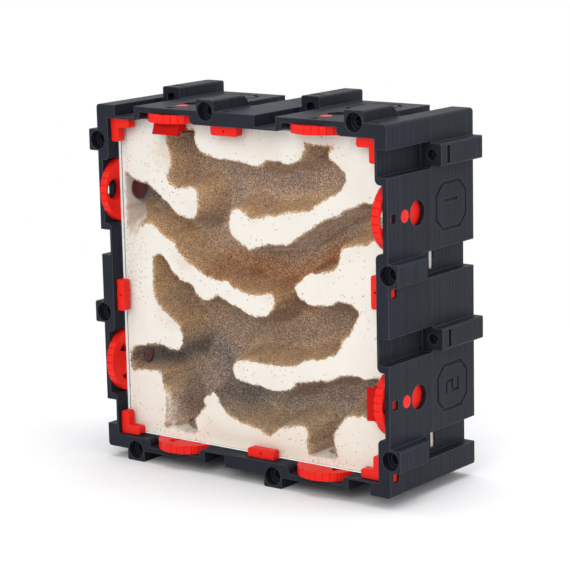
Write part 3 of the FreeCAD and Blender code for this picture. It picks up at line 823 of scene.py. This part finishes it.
def closed_relief(name, points, back):
    """A solid from a square grid of points: the grid in front, straight walls and a flat back."""
    rows, columns = points.shape[:2]
    index = np.arange(rows * columns).reshape(rows, columns)
    quads = np.stack([index[:-1, :-1], index[1:, :-1], index[1:, 1:], index[:-1, 1:]], -1).reshape(-1, 4)
    ring = np.concatenate([index[:, 0], index[-1, 1:], index[-2::-1, -1], index[0, -2:0:-1]])
    behind = points.reshape(-1, 3)[ring].copy()
    behind[:, Y] = back
    low = rows * columns + np.arange(len(ring))
    walls = np.stack([ring, low, np.roll(low, -1), np.roll(ring, -1)], -1)
    mesh = bpy.data.meshes.new(name)
    vertices = np.concatenate([points.reshape(-1, 3), behind])
    mesh.from_pydata(vertices.tolist(), [], np.concatenate([quads, walls]).tolist() + [low[::-1].tolist()])
    mesh.update()
    return linked(name, mesh)


def applied(obj):
    """Turn the object's modifiers into its mesh."""
    bpy.context.view_layer.update()
    obj.data = bpy.data.meshes.new_from_object(obj.evaluated_get(bpy.context.evaluated_depsgraph_get()))
    obj.modifiers.clear()


def evenly_meshed(obj, voxel):
    """Give the solid an even mesh, so that steep walls carry as much detail as flat ones."""
    change = obj.modifiers.new("even", "REMESH")
    change.mode = "VOXEL"
    change.voxel_size = voxel * MM
    change.use_smooth_shade = True
    applied(obj)


def round_cutter(name, inner_radius, outer_radius, s, deep, span, side):
    """A round cut through one side of the nest, from a distance to a distance out."""
    low, high = span
    work = bmesh.new()
    bmesh.ops.create_cone(work, cap_ends=True, segments=BORE_SIDES, depth=high - low,
                          radius1=inner_radius, radius2=outer_radius)
    for at in np.arange(low + RING_STEP, high - RING_STEP / 2, RING_STEP):
        every = work.verts[:] + work.edges[:] + work.faces[:]
        bmesh.ops.bisect_plane(work, geom=every, plane_co=(0, 0, at - (low + high) / 2), plane_no=(0, 0, 1))
    obj = from_bmesh(name, work)
    place = Matrix.Translation(((low + high) / 2, deep, s)) @ Matrix.Rotation(math.pi / 2, 4, "Y")
    turn = Matrix.Rotation(math.pi / 2 * side, 4, "Y")
    frame_move = Matrix.Translation((0, FACE_Y, MIDDLE_Z)) @ Matrix.Scale(MM, 4)
    obj.matrix_world = frame_move @ turn @ place
    return obj


def cut_out(obj, cutters):
    for cutter in cutters:
        change = obj.modifiers.new("cut", "BOOLEAN")
        change.operation = "DIFFERENCE"
        change.solver = "MANIFOLD"
        change.object = cutter
    applied(obj)
    for cutter in cutters:
        bpy.data.objects.remove(cutter)


def mesh_arrays(mesh):
    co = np.zeros(len(mesh.vertices) * 3, np.float32)
    mesh.vertices.foreach_get("co", co)
    normal = np.zeros(len(mesh.vertices) * 3, np.float32)
    mesh.vertex_normals.foreach_get("vector", normal)
    return co.reshape(-1, 3), normal.reshape(-1, 3)


def to_nest(co):
    """Scene metres to nest millimetres: x, depth and z."""
    return co[:, X] / MM, (co[:, Y] - FACE_Y) / MM, (co[:, Z] - MIDDLE_Z) / MM


def paint(mesh, tones):
    """Keep four shares for each vertex where the material finds them."""
    mesh.color_attributes.new(TONE, "FLOAT_COLOR", "POINT")
    mesh.color_attributes[TONE].data.foreach_set("color", tones.astype(np.float32).ravel())


# ---------------------------------------------------------------- the nest

def relief_depth(x, z):
    """How deep the plaster's surface lies: steep walls with a round foot, gentler ones in places."""
    soft = painted(x, z, GENTLE)
    inside = WALL_RUN_INSIDE * np.clip(from_rim(x, z) / RIM_FADE, 0, 1)
    run = WALL_RUN + inside + WALL_RUN_WAVE * waves(x, z, "wall") + WALL_RUN_GENTLE * soft
    share = np.clip(warped_inside(x, z) / run, 0, 1)
    slope = (1 - soft) * (1 - (1 - share) ** WALL_POWER) + soft * share * share * (3 - 2 * share)
    return FLOOR_DEEP * slope * (1 + FLOOR_WAVE * waves(x, z, "floor")) - FACE_PROUD


def port_cutters():
    """The bores to the eight ports, and the notch in front of one."""
    mouth = (MOUTH_OUT, RIM_HALF + BORE_PAST)
    cutters = [round_cutter("mouth", MOUTH_R, PORT_R, s, PORT_DEEP, mouth, side) for s, side in PORTS]
    s, side = NOTCHED
    notch = (MOUTH_OUT, NOTCH_OUT)
    cutters.append(round_cutter("notch", PORT_R, PORT_R, s, PORT_DEEP - NOTCH_FORWARD, notch, side))
    return cutters


def make_carving(voxel):
    """The plaster round the tunnels, as a relief behind the pane, bored through to the ports."""
    half = RIM_HALF - RELIEF_GAP
    line = np.linspace(-half, half, int(2 * half / RELIEF_STEP))
    x, z = np.meshgrid(line, line, indexing="ij")
    points = np.stack([x * MM, FACE_Y + relief_depth(x, z) * MM, MIDDLE_Z + z * MM], -1)
    carving = closed_relief("nest_carving", points, FACE_Y + CARVED_DEEP * MM)
    evenly_meshed(carving, voxel)
    cut_out(carving, port_cutters())
    carving.data.shade_smooth()
    x, deep, z = to_nest(mesh_arrays(carving.data)[0])
    paint(carving.data, grains_stains_and_port_shade(x, deep, z))
    return carving


def grains_stains_and_port_shade(x, deep, z):
    """Shares of loose grains along the tunnels' edges, of painted shade in the ports and of stains, on the
    plaster.
    """
    grains = np.clip(GRAINS_MOST + GRAINS_THIN * np.minimum(warped_inside(x, z), 0), 0, GRAINS_MOST)
    grains = np.where(bared(x, deep, z) > 0.3, GRAINS_BARE, grains)
    out = np.maximum(np.abs(x), np.abs(z))
    # Painted shade in the side ports' bores, for the shadow there.
    port_shade = np.clip((MOUTH_R + PORT_SHADE_PAST - port_distance(x, deep, z)) / PORT_SHADE_FADE, 0, PORT_SHADE_MOST)
    port_shade = np.where(np.abs(x) > np.abs(z), port_shade * np.clip(out - MOUTH_OUT, 0, 1), 0)
    stain_and_shade = np.maximum(painted(x, z, WALL_STAIN) * np.clip(deep - 1, 0, 1), painted(x, z, FACE_STAINS))
    return np.stack([grains, port_shade, stain_and_shade, 0 * x], -1)


def coat_edge(x, deep, z):
    """How far a place lies inside the coat's edge, in shares of its full thickness; negative outside."""
    out = np.maximum(np.abs(x), np.abs(z))
    ragged = COAT_GRIT * waves(x, z, "coat_grit") + COAT_WAVE * waves(x, z, "coat")
    at_rim = RIM_SAND_LIFT * ((out > RIM_SAND_OUT) & (deep > RIM_SAND_DEEP))
    edge = np.minimum(deep / COAT_BEGINS + 0.1 + ragged, warped_inside(x, z) + COAT_SPILLS + at_rim)
    edge = np.minimum(edge, (FLOOR_DEEP + COAT_PAST_FLOOR - deep) / COAT_END_FLOOR)
    edge = np.minimum(edge, (RIM_HALF - RIM_SAND_GAP - out) / COAT_END_RIM)
    past_mouth = port_distance(x, deep, z) - MOUTH_R - 0.1 - 0.3 * ragged
    edge = np.minimum(edge, np.maximum(past_mouth, RING_OUT - out))
    return np.where(bared(x, deep, z) + 0.3 * ragged > 0.8, -1, edge)


def make_sand(carving):
    """The coat of sand: the tunnel walls and floors again, a grain or so thicker."""
    co, normal = mesh_arrays(carving.data)
    x, deep, z = to_nest(co)
    edge = coat_edge(x, deep, z)
    grain = np.random.default_rng(GRAIN_SEED).uniform(-1, 1, len(co)) * (edge > 0)
    thick = COAT_THICK * np.clip(edge, COAT_DIP, 1) + GRAIN_HEIGHT * grain
    moved = co + normal * (thick * MM)[:, None]
    coat = carving.data.copy()
    coat.color_attributes.remove(coat.color_attributes[TONE])
    coat.vertices.foreach_set("co", moved.astype(np.float32).ravel())
    paint(coat, sand_tones(x, z))
    work = bmesh.new()
    work.from_mesh(coat)
    loose = [vertex for vertex, keep in zip(work.verts, edge > COAT_CUT) if not keep]
    bmesh.ops.delete(work, geom=loose, context="VERTS")
    work.to_mesh(coat)
    work.free()
    return linked("sand_coat", coat)


def sand_tones(x, z):
    """Shares of ochre, partly painted light, rust and grey, partly painted shade, over the coat, and of bare
    plaster.
    """
    patch = waves(x, z, "patch") + 0.5 * waves(x, z, "patch_fine")
    rust = painted(x, z, RUSTY) * np.clip(0.85 + RUST_PATCHY * patch, 0, 1)
    # Painted shade: grey sand under the plaster's edges.
    grey = painted(x, z, SHADE_GREY)
    # Painted light: ochre, the sand's own tone, laid where the sand is lit from above, most just above a
    # lower edge.
    below = tunnel_depth_in(x, z - OCHRE_BELOW)
    ochre = np.clip(1.15 - warped_inside(x, z) / OCHRE_REACH + OCHRE_PATCHY * patch, 0, 1)
    ochre = ochre * np.clip(1.2 - below / OCHRE_BELOW, 0.25, 1)
    ochre = ochre * (1 - 0.85 * grey)
    grey = np.clip(np.maximum(grey, 0.12 + GREY_PATCHY * patch), 0, 1)
    return np.stack([ochre, rust, grey, painted(x, z, SPRINKLED)], -1)


def make_shell():
    """The rest of the plaster block behind the carved layer, its edges worn round."""
    low = (-RIM_HALF * MM, FACE_Y + (CARVED_DEEP - SHELL_LAP) * MM, MIDDLE_Z - RIM_HALF * MM)
    high = (RIM_HALF * MM, NEST_HIGH.y, MIDDLE_Z + RIM_HALF * MM)
    shell = box_object("nest_shell", low, high)
    worn = shell.modifiers.new("worn", "BEVEL")
    worn.width = SHELL_EDGE * MM
    worn.segments = 3
    return shell


# ---------------------------------------------------------------- studio

def area_light(name, place, size, power):
    light = bpy.data.lights.new(name, "AREA")
    light.shape = "RECTANGLE"
    light.size, light.size_y = size
    light.energy = power
    obj = bpy.data.objects.new(name, light)
    bpy.context.scene.collection.objects.link(obj)
    obj.location = place
    obj.rotation_euler = (Vector(LIT_PLACE) - obj.location).to_track_quat("-Z", "Y").to_euler()


def make_studio():
    for name, lamp in LIGHTS.items():
        area_light(name, **lamp)
    floor = box_object("floor", (-FLOOR_HALF, -FLOOR_HALF, -FLOOR_THICK), (FLOOR_HALF, FLOOR_HALF, 0))
    dress(floor, floor_material())
    make_world()


def make_world():
    """Plain white where it is seen, and softer where it lights the object."""
    world = bpy.data.worlds.new("studio")
    bpy.context.scene.world = world
    n = Nodes(world, "ShaderNodeOutputWorld")
    soft = n.add("ShaderNodeBackground", None, Color=SKY, Strength=SKY_STRENGTH)
    white = n.add("ShaderNodeBackground", None, Color=WHITE, Strength=1.0)
    n.finish(n.mix_shader(n.seen(), soft, white))


def make_camera():
    data = bpy.data.cameras.new("camera")
    data.sensor_width = SENSOR_WIDE
    data.lens = LENS
    data.clip_start = CLIP_START
    obj = bpy.data.objects.new("camera", data)
    bpy.context.scene.collection.objects.link(obj)
    turn = Matrix.Identity(4)
    for angle, axis in ((CAMERA_TURN, "Z"), (CAMERA_TILT, "X"), (CAMERA_ROLL, "Z")):
        turn = turn @ Matrix.Rotation(math.radians(angle), 4, axis)
    obj.matrix_world = Matrix.Translation(CAMERA_PLACE) @ turn
    bpy.context.scene.camera = obj


# ---------------------------------------------------------------- putting it together

def dress(obj, material):
    obj.data.materials.clear()
    obj.data.materials.append(material)


def dress_nodes():
    """Give each node of the CAD that is shown its material."""
    black = printed("black_print", Y, BLACK_PRINT)
    upright_wheel = printed("red_print_sides", X, WHEEL_PRINT, WINE_SHADE)
    level_wheel = printed("red_print_level", Z, WHEEL_PRINT, MAUVE_SHADE)
    clip = printed("red_print_clips", Y, CLIP_PRINT)
    lock = printed("dark_red_print", Y, LOCK_PRINT)
    single = {"housing": black, "front_pane": pane_material(), "square_nuts": steel_material()}
    for name, node in NODES.items():
        if name in single:
            dress(node, single[name])
        elif name.startswith("lock_"):
            dress(node, lock)
        elif name.startswith("wheel_"):
            dress(node, upright_wheel if "_left_" in name or "_right_" in name else level_wheel)
        elif "clip" in name:
            dress(node, clip)


def make_nest():
    """The carved nest in place of the CAD's plain one."""
    plaster, sand = plaster_material(), sand_material()
    carving = make_carving(FINE_VOXEL)
    coat = make_sand(carving)
    shell = make_shell()
    for piece in (carving, shell):
        dress(piece, plaster)
        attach(piece, "housing")
        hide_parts("nest_block")
    dress(coat, sand)
    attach(coat, "housing")
    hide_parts("sand_lining")


def main():
    dress_nodes()
    make_nest()
    make_studio()
    make_camera()
    bpy.context.scene.view_settings.view_transform = "Standard"


main()
